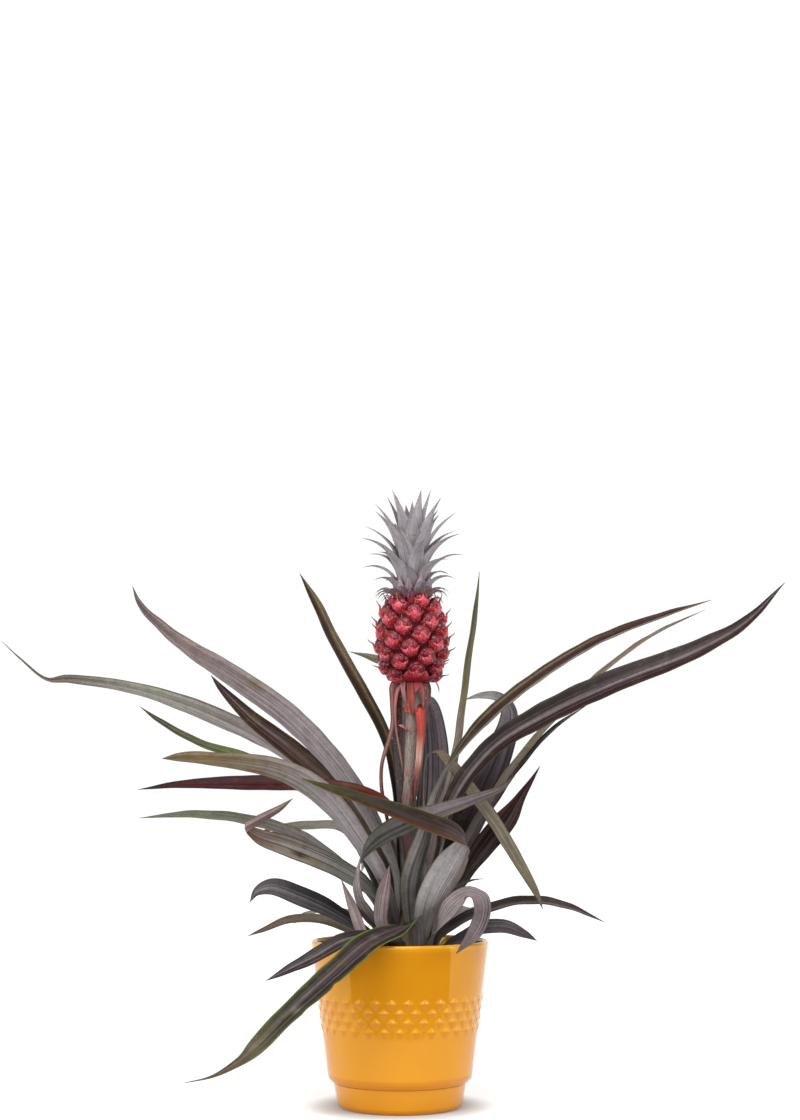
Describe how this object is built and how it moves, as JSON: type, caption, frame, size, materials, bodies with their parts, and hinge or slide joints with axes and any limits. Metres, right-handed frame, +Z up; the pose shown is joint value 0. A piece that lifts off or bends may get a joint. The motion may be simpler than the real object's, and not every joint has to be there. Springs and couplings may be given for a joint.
{
  "type": "potted pineapple plant",
  "caption": "Red dwarf pineapple plant with an arching rosette of dark leaves and a crowned fruit on a stalk, in a glazed cover pot with a studded band.",
  "frame": {"origin": "centre of the flat underside of the cover pot, on the surface that it stands on", "axes": "+Z up along the pot's axis, +X to the right as the plant is looked at, -Y towards the viewer"},
  "size_m": [0.621, 0.3147, 0.4865],
  "materials": {
    "yellow_glaze": "gloss",
    "black_plastic": "matte",
    "potting_mix": "loose, matte",
    "stem_tissue": "matte",
    "red_bract_tissue": "satin",
    "fruit_skin": "satin",
    "silver_leaf_tissue": "satin",
    "green_leaf_tissue": "satin",
    "dark_leaf_tissue": "satin"
  },
  "bodies": {
    "root": {"cover_pot": "yellow_glaze", "nursery_pot": "black_plastic", "potting_mix": "potting_mix", "stem_base": "stem_tissue", "flower_stalk": "stem_tissue", "stalk_bracts": "red_bract_tissue", "fruit": "fruit_skin", "crown": "silver_leaf_tissue", "leaf_left_high": "silver_leaf_tissue", "leaf_left_far": "silver_leaf_tissue", "leaf_left_dark": "dark_leaf_tissue", "leaf_left_green": "green_leaf_tissue", "leaf_left_silver": "silver_leaf_tissue", "leaf_left_maroon": "dark_leaf_tissue", "leaf_left_folded": "green_leaf_tissue", "leaf_left_pale": "silver_leaf_tissue", "leaf_left_behind": "green_leaf_tissue", "leaf_low_left_curl": "dark_leaf_tissue", "leaf_low_left_tan": "green_leaf_tissue", "leaf_low_left_dark": "dark_leaf_tissue", "leaf_drooping": "dark_leaf_tissue", "leaf_front_folded": "silver_leaf_tissue", "leaf_front_arc": "green_leaf_tissue", "leaf_front_left_shoot": "silver_leaf_tissue", "leaf_front_shoot": "silver_leaf_tissue", "leaf_stalk_left": "dark_leaf_tissue", "leaf_stalk_right": "green_leaf_tissue", "leaf_behind_small": "green_leaf_tissue", "leaf_over_stalk": "green_leaf_tissue", "leaf_right_high": "dark_leaf_tissue", "leaf_right_far": "dark_leaf_tissue", "leaf_right_behind_high": "green_leaf_tissue", "leaf_right_behind_low": "dark_leaf_tissue", "leaf_right_broad": "dark_leaf_tissue", "leaf_back_rounded": "dark_leaf_tissue", "leaf_right_dark": "dark_leaf_tissue", "leaf_right_curled": "silver_leaf_tissue", "leaf_right_whisker": "dark_leaf_tissue", "leaf_low_right_far": "dark_leaf_tissue", "leaf_low_right_dark": "dark_leaf_tissue", "leaf_back_low": "dark_leaf_tissue", "leaf_back_left_low": "dark_leaf_tissue", "leaf_back_right_low": "green_leaf_tissue", "leaf_back_left_high": "dark_leaf_tissue", "leaf_back_right_high": "green_leaf_tissue"}
  },
  "joints": []
}
